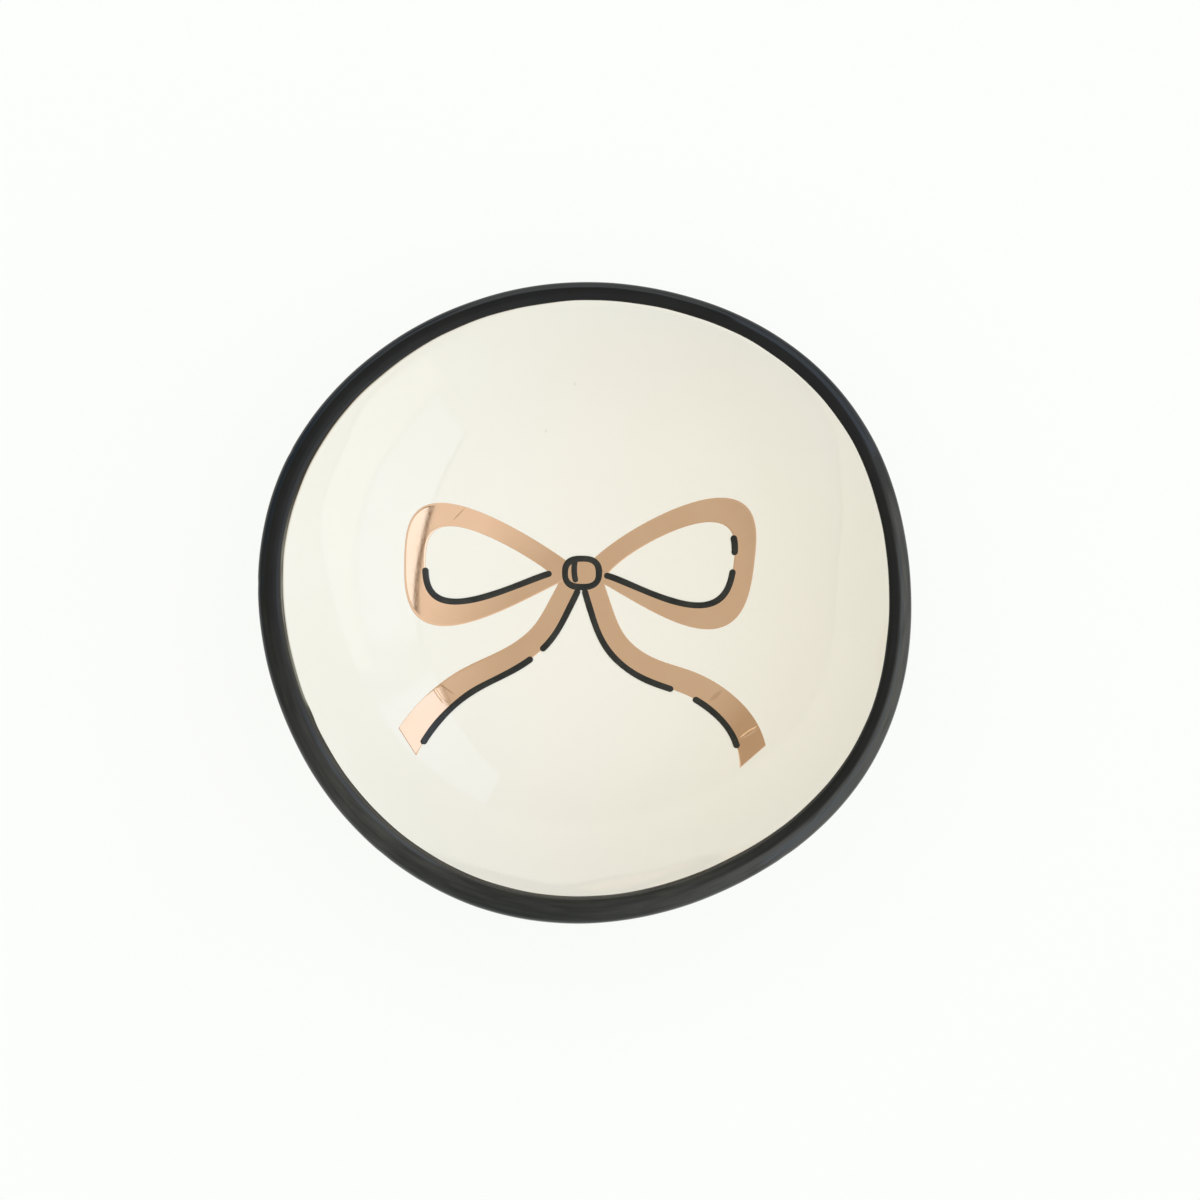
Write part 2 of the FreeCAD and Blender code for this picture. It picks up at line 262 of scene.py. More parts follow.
def mixColor(tree, factor, first, second):
    made = addNode(tree, "Mix", data_type="RGBA")
    tree.links.new(factor, made.inputs[0])
    for place, value in ((6, first), (7, second)):
        feed(tree, made.inputs[place], (*value, 1) if isinstance(value, tuple) else value)
    return made.outputs[2]


def pieceMask(tree, name):
    return addNode(tree, "Attribute", attribute_name=name).outputs["Fac"]


def piecePlace(tree):
    return addNode(tree, "TexCoord").outputs["Object"]


def newGroup(name, inputs, output):
    group = bpy.data.node_groups.new(name, "ShaderNodeTree")
    for key, value in inputs.items():
        kind = "NodeSocketVector" if isinstance(value, tuple) else "NodeSocketFloat"
        socket = group.interface.new_socket(key, in_out="INPUT", socket_type=kind)
        socket.default_value = value
    group.interface.new_socket(output, in_out="OUTPUT", socket_type="NodeSocketFloat")
    return group, group.nodes.new("NodeGroupInput"), group.nodes.new("NodeGroupOutput")


def useGroup(tree, group, **inputs):
    return addNode(tree, "Group", inputs, node_tree=group).outputs[0]


def newMaterial(name, **constants):
    material = bpy.data.materials.new(name)
    material.use_nodes = True
    shader = material.node_tree.nodes["Principled BSDF"]
    for key, value in constants.items():
        shader.inputs[key.replace("_", " ")].default_value = value
    return material, material.node_tree, shader


def addBump(tree, shader, height, strength, distance):
    bump = addNode(tree, "Bump", {"Height": height, "Strength": strength, "Distance": distance})
    if shader.inputs["Normal"].is_linked:
        tree.links.new(shader.inputs["Normal"].links[0].from_socket, bump.inputs["Normal"])
    tree.links.new(bump.outputs["Normal"], shader.inputs["Normal"])


def roughnessFrom(tree, tone, finish):
    return ramp(tree, tone, 0.0, 1.0, *finish["roughness"])


def finishShader(tree, shader, finish, color, roughness, height):
    feed(tree, shader.inputs["Base Color"], color)
    feed(tree, shader.inputs["Roughness"], roughness)
    addBump(tree, shader, height, *finish["bump"])


# effects shared by the materials
def makeHandTone():
    # slow changes of tone, as glaze pools and thins
    group, given, result = newGroup("handTone", {"Scale": 60.0, "Detail": 3.0}, "Tone")
    inputs = {"Vector": piecePlace(group), "Roughness": 0.55}
    for key in ("Scale", "Detail"):
        inputs[key] = given.outputs[key]
    noise = addNode(group, "TexNoise", inputs)
    feed(group, result.inputs[0], ramp(group, noise.outputs[0], 0.3, 0.7))
    return group


def makeFireSpecks():
    # small round specks or pinholes, in a share of the cells
    group, given, result = newGroup("fireSpecks", {"Scale": 300.0, "Size": 0.12, "Share": 0.1}, "Mask")
    size = given.outputs["Size"]
    cells = addNode(group, "TexVoronoi", {"Vector": piecePlace(group), "Scale": given.outputs["Scale"]})
    chance = addNode(group, "SeparateColor", {"Color": cells.outputs["Color"]}).outputs[0]
    chosen = mathNode(group, "LESS_THAN", chance, given.outputs["Share"])
    dot = ramp(group, cells.outputs["Distance"], times(group, size, 0.5), size, 1.0, 0.0)
    feed(group, result.inputs[0], times(group, chosen, dot))
    return group


def makeBrushStreaks():
    # streaks that run round the dish, as a brush held against the turning lip leaves them
    group, given, result = newGroup("brushStreaks", {"Spacing": 1400.0, "Length": 6.0}, "Streak")
    spacing, length = given.outputs["Spacing"], given.outputs["Length"]
    x, y, z = addNode(group, "SeparateXYZ", {"Vector": piecePlace(group)}).outputs
    radius = mathNode(group, "SQRT", mathNode(group, "ADD", times(group, x, x), times(group, y, y)))
    turn = mathNode(group, "ARCTAN2", y, x)
    steps = {"X": (radius, spacing), "Y": (z, spacing), "Z": (turn, length)}
    rolled = addNode(group, "CombineXYZ", {key: times(group, *pair) for key, pair in steps.items()})
    noise = addNode(group, "TexNoise", {"Vector": rolled.outputs[0], "Scale": 1.0, "Detail": 2.0})
    feed(group, result.inputs[0], noise.outputs[0])
    return group


def makeStreak():
    # one long soft spot on the floor of the dish: middle, direction and half sizes in plan
    start = {"Middle": (0.0, 0.0, 0.0), "Turn": (0.0, 0.0, 0.0), "Size": (1.0, 1.0, 1.0)}
    group, given, result = newGroup("streak", start, "Mask")
    middle, turn, size = [given.outputs[key] for key in start]
    inputs = {"Vector": piecePlace(group), "Location": middle, "Rotation": turn, "Scale": size}
    mapped = addNode(group, "Mapping", inputs, vector_type="TEXTURE")
    fade = addNode(group, "TexGradient", {"Vector": mapped.outputs[0]}, gradient_type="SPHERICAL")
    feed(group, result.inputs[0], ramp(group, fade.outputs["Fac"], 0.0, 0.5))
    return group


def useStreak(tree, start, end, half):
    middle = ((start[0] + end[0]) / 2, (start[1] + end[1]) / 2, 0.0)
    along = (end[0] - start[0], end[1] - start[1])
    turn = (0.0, 0.0, np.arctan2(along[1], along[0]))
    size = (np.hypot(*along) / 2 + half, half, 100.0)  # so tall that height plays no part
    return useGroup(tree, streak, Middle=middle, Turn=turn, Size=size)


handTone = makeHandTone()
streak = makeStreak()
fireSpecks = makeFireSpecks()
brushStreaks = makeBrushStreaks()

creamFinish = {
    "light": (0.915, 0.893, 0.780),
    "deep": (0.898, 0.874, 0.755),
    "middleDarker": (0.882, 0.861, 0.750),  # darker towards the middle of the floor
    "speck": (0.30, 0.22, 0.12),
    "speckDepth": 0.6,
    "spots": ((-0.00611, 0.03032), (-0.00149, 0.03691), (-0.01282, -0.04547), (-0.00823, -0.04657)),
    "spotSize": 0.00030,
    "spotDepth": 0.12,
    "stain": (0.36, 0.27, 0.15),  # thin paint along the band's edge
    "roughness": (0.02, 0.05),
    "peel": 0.12,  # fine unevenness, as a share of a pinhole's depth
    "bump": (0.15, 0.00004),  # strength and distance
}


def makeCream():
    finish = creamFinish
    material, tree, shader = newMaterial("creamGlaze", IOR=1.52, Specular_IOR_Level=0.5)
    tone = useGroup(tree, handTone, Scale=38.0, Detail=3.0)
    peel = useGroup(tree, handTone, Scale=520.0, Detail=1.0)
    specks = useGroup(tree, fireSpecks, Scale=85.0, Size=0.022, Share=0.07)
    pinholes = useGroup(tree, fireSpecks, Scale=210.0, Size=0.05, Share=0.03)
    color = mixColor(tree, tone, finish["light"], finish["deep"])
    color = mixColor(tree, pieceMask(tree, "middleDarker"), color, finish["middleDarker"])
    color = mixColor(tree, times(tree, specks, finish["speckDepth"]), color, finish["speck"])
    for spot in finish["spots"]:
        dot = useStreak(tree, spot, spot, finish["spotSize"])
        color = mixColor(tree, times(tree, dot, finish["spotDepth"]), color, finish["speck"])
    color = mixColor(tree, pieceMask(tree, "stain"), color, finish["stain"])
    height = mathNode(tree, "SUBTRACT", times(tree, peel, finish["peel"]), pinholes)
    finishShader(tree, shader, finish, color, roughnessFrom(tree, tone, finish), height)
    return material


blackFinish = {
    "deep": (0.0012, 0.0024, 0.0018),
    "worn": (0.0085, 0.0100, 0.0085),
    "paintedHighlight": (0.052, 0.053, 0.045),  # painted highlight, shown through the brush streaks
    "thin": (0.060, 0.048, 0.030),  # where the paint thins out at its edges
    "scraped": (0.235, 0.225, 0.172),  # where the cream shows through the last strokes
    "bristles": (0.3, 0.6, 0.4),  # range of the streaks that show there, and the least that shows
    "roughness": (0.05, 0.13),
    "thinRoughness": 1.4,  # added where the paint is thin
    "streakHeight": 0.8,
    "dustHeight": 0.5,
    "bump": (0.15, 0.00006),
}


def makeBlack():
    finish = blackFinish
    material, tree, shader = newMaterial("blackGlaze", IOR=1.5, Specular_IOR_Level=0.35)
    brushed = useGroup(tree, brushStreaks, Spacing=1500.0, Length=7.0)
    tone = useGroup(tree, handTone, Scale=170.0, Detail=4.0)
    dust = useGroup(tree, fireSpecks, Scale=420.0, Size=0.14, Share=0.05)
    thin, highlightMask, scraped = [pieceMask(tree, name) for name in ("thin", "highlightMask", "scraped")]
    color = mixColor(tree, times(tree, brushed, tone), finish["deep"], finish["worn"])
    # painted highlight, broken up by the brush streaks
    color = mixColor(tree, times(tree, brushed, highlightMask), color, finish["paintedHighlight"])
    color = mixColor(tree, thin, color, finish["thin"])
    bristles = ramp(tree, brushed, *finish["bristles"])
    color = mixColor(tree, times(tree, scraped, bristles), color, finish["scraped"])
    roughness = roughnessFrom(tree, tone, finish)
    roughness = mathNode(tree, "ADD", roughness, times(tree, thin, finish["thinRoughness"]))
    streaks, specks = times(tree, brushed, finish["streakHeight"]), times(tree, dust, finish["dustHeight"])
    finishShader(tree, shader, finish, color, roughness, mathNode(tree, "ADD", streaks, specks))
    return material


goldFinish = {
    "bright": (0.955, 0.650, 0.408),
    "warm": (0.930, 0.618, 0.378),
    "roughness": (0.05, 0.10),
    # colour of the painted shade in the gold's folds
    "foldShade": (0.42, 0.24, 0.13),
    # painted shade along fine folds in the laid gold: both ends, half width, depth of the painted shade
    "shadedFolds": (
        ((-0.02097, 0.01617), (-0.01893, 0.01837), 0.00014, 0.55),
        ((-0.02304, -0.00993), (-0.02038, -0.01173), 0.00018, 0.50),
        ((-0.02235, -0.01255), (-0.02125, -0.01319), 0.00015, 0.45),
        ((0.01995, -0.01255), (0.02151, -0.01119), 0.00048, 0.28),
    ),
    # soft ridges: both ends, half width
    "ridges": (
        ((0.02464, -0.01929), (0.02703, -0.01778), 0.00040),
        ((-0.02403, -0.01031), (-0.02229, -0.01301), 0.00030),
    ),
    "grainHeight": 0.25,
    "bump": (0.15, 0.00002),
    "ridgeBump": (1.0, 0.00006),
}


def makeGold():
    finish = goldFinish
    material, tree, shader = newMaterial("goldLustre", Metallic=1.0)
    tone = useGroup(tree, handTone, Scale=150.0, Detail=4.0)
    grain = useGroup(tree, handTone, Scale=1500.0, Detail=2.0)
    pinholes = useGroup(tree, fireSpecks, Scale=700.0, Size=0.10, Share=0.06)
    color = mixColor(tree, tone, finish["bright"], finish["warm"])
    # painted shade along each fold
    for start, end, half, depth in finish["shadedFolds"]:
        line = useStreak(tree, start, end, half)
        color = mixColor(tree, times(tree, line, depth), color, finish["foldShade"])
    height = mathNode(tree, "SUBTRACT", times(tree, grain, finish["grainHeight"]), pinholes)
    finishShader(tree, shader, finish, color, roughnessFrom(tree, grain, finish), height)
    for ridge in finish["ridges"]:
        addBump(tree, shader, useStreak(tree, *ridge), *finish["ridgeBump"])
    return material


inkFinish = {
    "deep": (0.0100, 0.0118, 0.0085),
    "worn": (0.027, 0.028, 0.021),
    "roughness": (0.16, 0.30),
    "bump": (0.2, 0.00002),
}


def makeInk():
    finish = inkFinish
    material, tree, shader = newMaterial("blackInk", IOR=1.5, Specular_IOR_Level=0.4)
    tone = useGroup(tree, handTone, Scale=420.0, Detail=3.0)
    grain = useGroup(tree, handTone, Scale=1800.0, Detail=2.0)
    color = mixColor(tree, tone, finish["deep"], finish["worn"])
    finishShader(tree, shader, finish, color, roughnessFrom(tree, grain, finish), grain)
    return material


clayFinish = {
    "pale": (0.74, 0.67, 0.55),
    "dark": (0.60, 0.51, 0.39),
    "grog": (0.36, 0.27, 0.18),
    "grogDepth": 0.5,
    "roughness": (0.80, 0.95),
    "bump": (0.6, 0.00005),
}


def makeClay():
    finish = clayFinish
    material, tree, shader = newMaterial("firedClay", IOR=1.45, Specular_IOR_Level=0.25)
    tone = useGroup(tree, handTone, Scale=130.0, Detail=5.0)
    grain = useGroup(tree, handTone, Scale=2600.0, Detail=3.0)
    grog = useGroup(tree, fireSpecks, Scale=900.0, Size=0.30, Share=0.12)
    color = mixColor(tree, tone, finish["pale"], finish["dark"])
    color = mixColor(tree, times(tree, grog, finish["grogDepth"]), color, finish["grog"])
    height = mathNode(tree, "ADD", grain, grog)
    finishShader(tree, shader, finish, color, roughnessFrom(tree, grain, finish), height)
    return material


cream = makeCream()
black = makeBlack()
gold = makeGold()
ink = makeInk()
clay = makeClay()
print("finishes made: cream and black glaze, gold lustre, ink, bare clay")

# black band, brushed over the lip by hand
band = {
    "inside": 0.00020,  # down the inner wall from the lip's round
    "insideLean": 0.00075,
    "outside": 0.0040,
    "outsideLean": 0.0006,
    "wideSide": 240,
    "insideWobble": ((7, 0.000045, 40), (13, 0.000035, 10), (23, 0.000025, 75), (41, 0.000015, 20)),
    "outsideWobble": ((5, 0.00016, 15), (9, 0.00013, 60), (17, 0.00010, 5), (31, 0.00006, 40)),
    "swellings": ((226, 9, 0.00016), (282, 10, 0.00012), (203, 2.2, 0.00022), (297, 5, 0.00008)),
    "edgeRise": 0.00030,  # the paint thickens over this distance from its edges
    "lumps": (
        (6, 0.000016, 20, 0.0), (11, 0.000012, 65, 1.7),
        (19, 0.000008, 10, 2.9), (37, 0.000004, 50, 4.0),
    ),
    "lumpSlant": 5,
    "bevel": 0.00020,  # the lip is a little flat on its outer slope
    "bevelTurn": radians(91),
    "bevelSpread": radians(38),
    "strokeEnds": (152, 176, 231, 240, 306),  # where one brush stroke overlaps the next
    "strokeEnd": (0.6, 0.00006),  # width in degrees, depth
    "strokeEndSlant": 0.05,
    "strokeEndSpan": (0.30, 0.60),  # shares of the way over the band
    "strokeEndFade": 0.15,
    # painted highlight on the band's lower side: direction and width in degrees, and size
    "highlightBelow": ((226, 30, 1.4), (285, 22, 0.9)),
    "highlightOuter": ((322, 26, 2.1), (360, 24, 1.5)),  # painted highlight on the right side, on the outer slope alone
    "slopeStart": radians(48),
    "slopeFade": 0.3,
    "thinInside": (0.35, 0.65),  # all round, and more at one side
    "thinInsideSide": (150, 45),
    "thinInsideWidth": 0.00016,
    "thinOutside": 0.5,
    "thinOutsideWidth": 0.00020,
    "worn": 0.36,
    "wornSide": (205, 70),
    "wornWidth": 0.0011,
    "scraped": (156, 176, 200, 203),  # degrees: the inner edge is scraped thin, up to a notch
    "scrapedWidth": 0.00072,
    "scrapedEven": 0.65,  # share of that width before it fades
    "overSteps": 56,
    "outsideSteps": 16,
    "underSteps": 20,
    "underOutsideSteps": 6,
}


def wobble(waveList, turn):
    return sum(size * np.sin(count * turn + first) for count, size, first in waveList)


def bandInside(turn):
    # path where the band ends inside: below 1 on the wall, above 1 on the lip's round
    width = band["inside"] + band["insideLean"] * np.cos(turn - radians(band["wideSide"]))
    width = width + wobble(band["insideWobble"], turn)
    return 1 - (width + atTurns(turn, band["swellings"])) / wallPerShare


def bandOutside(turn):
    width = band["outside"] + band["outsideLean"] * np.cos(turn - radians(band["wideSide"]))
    return 1 - (width + wobble(band["outsideWobble"], turn)) / wallPerShare


def bandThickness(turn, across, edgeDistance, lipTurn=0.0):
    # across runs from 0 at the inner edge to 1 at the outer one, lipTurn is the angle over the lip's round
    swell = 1 - np.exp(-edgeDistance / band["edgeRise"])
    fromBevel = np.clip((lipTurn - band["bevelTurn"]) / band["bevelSpread"], -1, 1)
    bevel = band["bevel"] * np.cos(pi / 2 * fromBevel) ** 2
    lumps = 0
    for count, size, first, push in band["lumps"]:
        lumps = lumps + size * (1 + np.sin(count * turn + first + band["lumpSlant"] * across + push))
    begin, stop = [smooth((across - share) / band["strokeEndFade"]) for share in band["strokeEndSpan"]]
    marks = [(degrees, *band["strokeEnd"]) for degrees in band["strokeEnds"]]
    ends = begin * (1 - stop) * atTurns(turn - band["strokeEndSlant"] * across, marks)
    return dish["glaze"] + (dish["band"] - dish["glaze"]) * swell - swell * (lumps + ends + bevel)


def fading(distance, width):
    return np.exp(-((distance / width) ** 2))


def makeBand():
    start, end = bandInside(turns), bandOutside(turns)
    path = span(start, lipEnd, band["overSteps"])
    share = span(1.0, end, band["outsideSteps"])[:, 1:]
    fromInside = (path - start) * wallPerShare
    fromOutside = (share - end) * wallPerShare
    length = (lipEnd - start) * wallPerShare + (1 - end) * wallPerShare
    lipTurn = np.maximum(path - 1, 0) * wallPerShare / lipRadius
    overThick = bandThickness(turns, fromInside / length, fromInside, lipTurn)
    sideThick = bandThickness(turns, 1 - fromOutside / length, fromOutside)
    over = placed(*insidePoint(path, halfWall + overThick))
    side = placed(*wallPoint(share, -halfWall - sideThick))
    sideUnder = placed(*wallPoint(span(end, 1.0, band["underOutsideSteps"]), -halfWall))
    overUnder = placed(*insidePoint(span(lipEnd, start, band["underSteps"]), halfWall))[:, 1:]
    outline = beside(over, side, sideUnder, overUnder)
    unseen = np.zeros((len(turns), sideUnder.shape[1] + overUnder.shape[1]))

    # where the paint is thin
    allRound, atSide = band["thinInside"]
    edge = allRound + atSide * nearTurn(turns, *band["thinInsideSide"])
    thinInside = fading(fromInside, band["thinInsideWidth"]) * edge
    worn = band["worn"] * fading(fromInside, band["wornWidth"]) * nearTurn(turns, *band["wornSide"])
    thinOutside = band["thinOutside"] * fading(fromOutside, band["thinOutsideWidth"])
    thin = beside(np.maximum(thinInside, worn), thinOutside, unseen)

    # painted highlight on the band's lower and right sides, the right one on the outer slope alone
    slope = smooth((lipTurn - band["slopeStart"]) / band["slopeFade"])
    slope = beside(slope, np.ones_like(fromOutside), unseen)
    highlightMask = atTurns(turns, band["highlightBelow"]) + slope * atTurns(turns, band["highlightOuter"])

    # where the inner edge is scraped
    first, full, late, last = np.radians(band["scraped"])
    even = band["scrapedEven"]
    scraped = smooth((turns - first) / (full - first)) * (1 - smooth((turns - late) / (last - late)))
    scraped = scraped * (1 - smooth((fromInside / band["scrapedWidth"] - even) / (1 - even)))
    scraped = beside(scraped, np.zeros_like(fromOutside), unseen)
    masks = {"thin": thin, "highlightMask": highlightMask, "scraped": scraped}
    spin("blackBand", outline, ["rim_band"], black, False, masks)


makeBand()
print("black band made")

# cream glaze inside, from the middle of the floor up to the band
inside = {
    "floorSteps": 8,
    "wallSteps": 120,
    "underSteps": 24,
    "crowd": 1.7,
    "rippleEnd": (0.90, 0.10),  # share of the way up where ripples fade, and over how much
    "stain": 0.8,
    "stainSide": (150, 42),
    "stainWidth": 0.00022,
    "darkerRadius": 0.014,
    "darkerFade": 0.022,
}


def flatPart(height):
    radius = np.linspace(0, dish["flatRadius"], inside["floorSteps"] + 1)[:-1]
    return placedRows((radius, np.full_like(radius, height)))


def makeInside():
    edge = bandInside(turns)
    path = span(0.0, edge, inside["wallSteps"], inside["crowd"])
    floorTop = flatPart(floorZ + halfWall + dish["glaze"])
    wallTop = placed(*insidePoint(path, halfWall + dish["glaze"]))
    fadeStart, fadeLength = inside["rippleEnd"]
    fade = 1 - smooth((path / edge - fadeStart) / fadeLength)
    wallUnder = placed(*insidePoint(span(0.0, edge, inside["underSteps"]), halfWall))
    under = beside(flatPart(floorZ + halfWall), wallUnder)[:, ::-1]
    outline = beside(rippled(floorTop), rippled(wallTop, fade), under)
    stain = inside["stain"] * fading((edge - path) * wallPerShare, inside["stainWidth"])
    stain = stain * nearTurn(turns, *inside["stainSide"])
    stain = beside(np.zeros(floorTop.shape[:2]), stain, np.zeros(under.shape[:2]))
    # darker towards the middle of the floor
    radius = np.hypot(outline[..., 0], outline[..., 1])
    middleDarker = 1 - smooth((radius - inside["darkerRadius"]) / inside["darkerFade"])
    masks = {"stain": stain, "middleDarker": middleDarker}
    spin("creamInside", outline, ["inner_glaze"], cream, True, masks)


makeInside()
print("cream glaze inside made")

# cream glaze outside and under the floor, rolled back from the bare foot ring
outside = {
    "wallSteps": 70,
    "underSteps": 20,
    "baseSteps": 24,
    "baseUnderSteps": 12,
    "arcSteps": 14,
    "footSteps": 8,
    "footCrowd": 1.6,
    "ripples": 0.6,  # share of the ripples inside
    "bead": 0.00010,
    "beadHeight": 0.0006,
    "edgeWobble": ((5, 0.00007, 30), (9, 0.00006, 80), (16, 0.00004, 10), (27, 0.00003, 50)),
}


def filletShare(radius, halvings=60):
    low, high = 0.0, 1.0
    for _ in range(halvings):
        share = (low + high) / 2
        if wallPoint(share, -halfWall - dish["footFillet"])[0] < radius:
            low = share
        else:
            high = share
    return share


def filletPoints(share, footAngle, coat):
    centreR, centreZ = wallPoint(share, -halfWall - dish["footFillet"])
    normalR, normalZ = wallNormal(share)
    angle = np.linspace(np.arctan2(normalZ, normalR), footAngle, outside["arcSteps"] + 1)
    radius = dish["footFillet"] - coat
    return centreR + radius * np.cos(angle), centreZ + radius * np.sin(angle)


def footSide(radius, side, top):
    # down the side of the foot ring to the glaze's rolled edge
    bottom = dish["footBare"] + wobble(outside["edgeWobble"], turns)
    height = span(top, bottom, outside["footSteps"], outside["footCrowd"])[:, 1:]
    fromEdge = np.clip((height - bottom) / outside["beadHeight"], 0, 1)
    coat = dish["glaze"] * np.sqrt(fromEdge) + outside["bead"] * np.sin(pi * fromEdge)
    return radius + side * coat, height


def glazedFoot(share, footAngle, radius, side):
    # the glaze in the fillet, down the foot ring's side, and back under it along the clay
    arc = filletPoints(share, footAngle, dish["glaze"])
    sideTop = placed(*footSide(radius, side, arc[1][-1]))
    arcUnder = placedRows(filletPoints(share, footAngle, 0.0))[:, ::-1]
    return placedRows(arc), sideTop, arcUnder


def makeOutside():
    first = bandOutside(turns)
    last = filletShare(dish["footRadius"] + dish["footFillet"])
    wallTop = placed(*wallPoint(span(first, last, outside["wallSteps"])[:, :-1], -halfWall - dish["glaze"]))
    arcTop, sideTop, arcUnder = glazedFoot(last, pi, dish["footRadius"], 1)
    wallUnder = placed(*wallPoint(span(last, first, outside["underSteps"])[:, 1:], -halfWall))
    outer = rippled(beside(wallTop, arcTop), outside["ripples"])
    outline = beside(outer, sideTop, arcUnder, wallUnder)
    spin("creamOutside", outline, ["outer_glaze"], cream, False)


def makeBase():
    last = filletShare(footInner - dish["footFillet"])
    floorTop = flatPart(floorZ - halfWall - dish["glaze"])
    wallTop = placedRows(wallPoint(span(0.0, last, outside["baseSteps"])[:-1], -halfWall - dish["glaze"]))
    arcTop, sideTop, arcUnder = glazedFoot(last, 0.0, footInner, -1)
    wallUnder = placedRows(wallPoint(span(last, 0.0, outside["baseUnderSteps"])[1:], -halfWall))
    floorUnder = flatPart(floorZ - halfWall)[:, ::-1]
    outline = beside(floorTop, wallTop, arcTop, sideTop, arcUnder, wallUnder, floorUnder)
    spin("creamUnderside", outline, ["base_glaze"], cream, True)


makeOutside()
makeBase()
print("cream glaze outside and underneath made")

# the clay itself, bare only where it stands
body = {
    "wallSteps": 40,
    "lipSteps": 20,
    "footSteps": 10,
    "grain": 0.000018,
    "tooth": ((2900, 1300, 0), (-900, 3100, 0), (1900, 0, 2700)),  # radians a metre along x, y and z
}


def footRing(radius, side):
    # from the glaze's edge round to the face that stands on the table
    centreR = radius - side * dish["footRound"]
    angle = np.linspace(0, pi / 2, body["footSteps"] + 1)
    edgeR = centreR + side * dish["footRound"] * np.cos(angle)
    edgeZ = dish["footRound"] - dish["footRound"] * np.sin(angle)
    sideZ = np.linspace(2 * dish["footBare"], dish["footRound"], body["footSteps"] + 1)[:-1]
    return np.concatenate([np.full(len(sideZ), radius), edgeR]), np.concatenate([sideZ, edgeZ])


def grainy(points):
    # a fine tooth on the bare clay, only ever inwards and upwards from the table
    x, y, z = points[..., 0], points[..., 1], points[..., 2]
    tooth = 1
    for alongX, alongY, alongZ in body["tooth"]:
        tooth = tooth * np.sin(alongX * x + alongY * y + alongZ * z)
    depth = body["grain"] * (0.5 + 0.5 * tooth)
    shrink = 1 - depth / dish["footRadius"]
    return np.stack([x * shrink, y * shrink, z + depth * (z < dish["footBare"])], axis=-1)


def makeBody():
    lastOuter = filletShare(dish["footRadius"] + dish["footFillet"])
    lastInner = filletShare(footInner - dish["footFillet"])
    floorTop = flatPart(floorZ + halfWall)
    wallTop = placedRows(insidePoint(span(0.0, lipEnd, body["wallSteps"] + body["lipSteps"]), halfWall))
    wallOuter = placedRows(wallPoint(span(1.0, lastOuter, body["wallSteps"])[1:-1], -halfWall))
    arcOuter = placedRows(filletPoints(lastOuter, pi, 0.0))
    ringOuter = grainy(placedRows(footRing(dish["footRadius"], 1)))
    ringInner = grainy(placedRows(footRing(footInner, -1)))[:, ::-1]
    faceOuter, faceInner = dish["footRadius"] - dish["footRound"], footInner + dish["footRound"]
    faceR = np.linspace(faceOuter, faceInner, body["footSteps"] + 1)[1:-1]
    face = grainy(placedRows((faceR, np.zeros_like(faceR))))
    arcInner = placedRows(filletPoints(lastInner, 0.0, 0.0))[:, ::-1]
    wallBase = placedRows(wallPoint(span(lastInner, 0.0, body["wallSteps"])[1:], -halfWall))
    floorBase = flatPart(floorZ - halfWall)[:, ::-1]
    bowl = beside(floorTop, wallTop, wallOuter, arcOuter)
    outline = beside(bowl, ringOuter, face, ringInner, arcInner, wallBase, floorBase)
    spin("clayBody", outline, ["clay_body"], clay, True)


makeBody()
print("clay body made")

# ribbon bow on the floor, measured from the middle of its knot
# the left side is drawn as a right one, then mirrored
bow = {
    "x": -0.0004,
    "y": 0.0085,
    "knotWidth": 0.0054,
    "knotHeight": 0.0046,
    "knotSquareness": 2.6,
    "loopLength": {"Left": 0.0281, "Right": 0.0274},
    "loopTop": {"Left": 0.0094, "Right": 0.0103},  # over the line through a loop's middle
    "loopLow": {"Left": 0.0100, "Right": 0.0103},  # under that line
    "loopTilt": radians(2.5),
    "loopLean": {"Left": 0.02, "Right": 0.16},
    "loopTopBluntness": {"Left": 0.85, "Right": 0.50},
    "loopLowBluntness": 1.3,
    "loopSquareness": 1.35,
    "loopRibbon": 0.0033,
    "loopRibbonLow": 0.0042,
    "holeStart": {"Left": 0.0050, "Right": 0.0040},
    "holeDrop": {"Left": 0.00030, "Right": 0.00065},
    "tailRibbon": 0.0033,
    "tailRibbonEnd": 0.0044,
    "tailRoute": {
        "Left": (
            (0.00375, -0.0054), (0.0062, -0.0096), (0.0110, -0.0137),
            (0.0183, -0.0178), (0.0227, -0.0217), (0.0279, -0.0302),
        ),
        "Right": (
            (0.00295, -0.00545), (0.0054, -0.0112), (0.0108, -0.0156), (0.0171, -0.0181),
            (0.0220, -0.0215), (0.0252, -0.0256), (0.0269, -0.0330),
        ),
    },
    "tailCross": 0.0005,  # how far a tail starts back under the knot
    "tailSlant": 0.07,
    "inkWidth": 0.0010,
    "inkClearance": 0.0001,
    "edgeRound": 0.00012,
    "edgeShare": 0.25,  # thickness at an edge
    "sink": 0.00002,  # how far a print's underside lies in the glaze
    "across": (0, 0.015, 0.045, 0.10, 0.20, 0.35, 0.50, 0.65, 0.80, 0.90, 0.955, 0.985, 1),
    "tailGold": 0.00004,  # thickness of the gold, in the order it is laid
    "loopGold": 0.00006,
    "knotGold": 0.00009,
    "ink": 0.00016,
}


def glazeHeight(x, y, halvings=40):
    # height of the inner glaze over points in plan: the wall's share is found by halving
    radius, turn = np.hypot(x, y), np.arctan2(y, x)
    offset = halfWall + dish["glaze"]
    low, high = np.zeros_like(radius), np.ones_like(radius)
    for _ in range(halvings):
        share = (low + high) / 2
        wallR = wallPoint(share, offset)[0]
        short = wallR + unevenness(wallR, turn)[0] < radius
        low, high = np.where(short, share, low), np.where(short, high, share)
    wallR, wallZ = wallPoint(share, offset)
    height = np.where(radius < dish["flatRadius"], floorZ + offset, wallZ + unevenness(wallR, turn)[1])
    return height + ripple(x, y)


def openEdges(faces):
    # edges with a face on one side only, in the direction that their face runs
    found = {}
    for face in faces:
        for start, end in zip(face, face[1:] + face[:1]):
            key = (min(start, end), max(start, end))
            found[key] = None if key in found else (start, end)
    return [edge for edge in found.values() if edge]


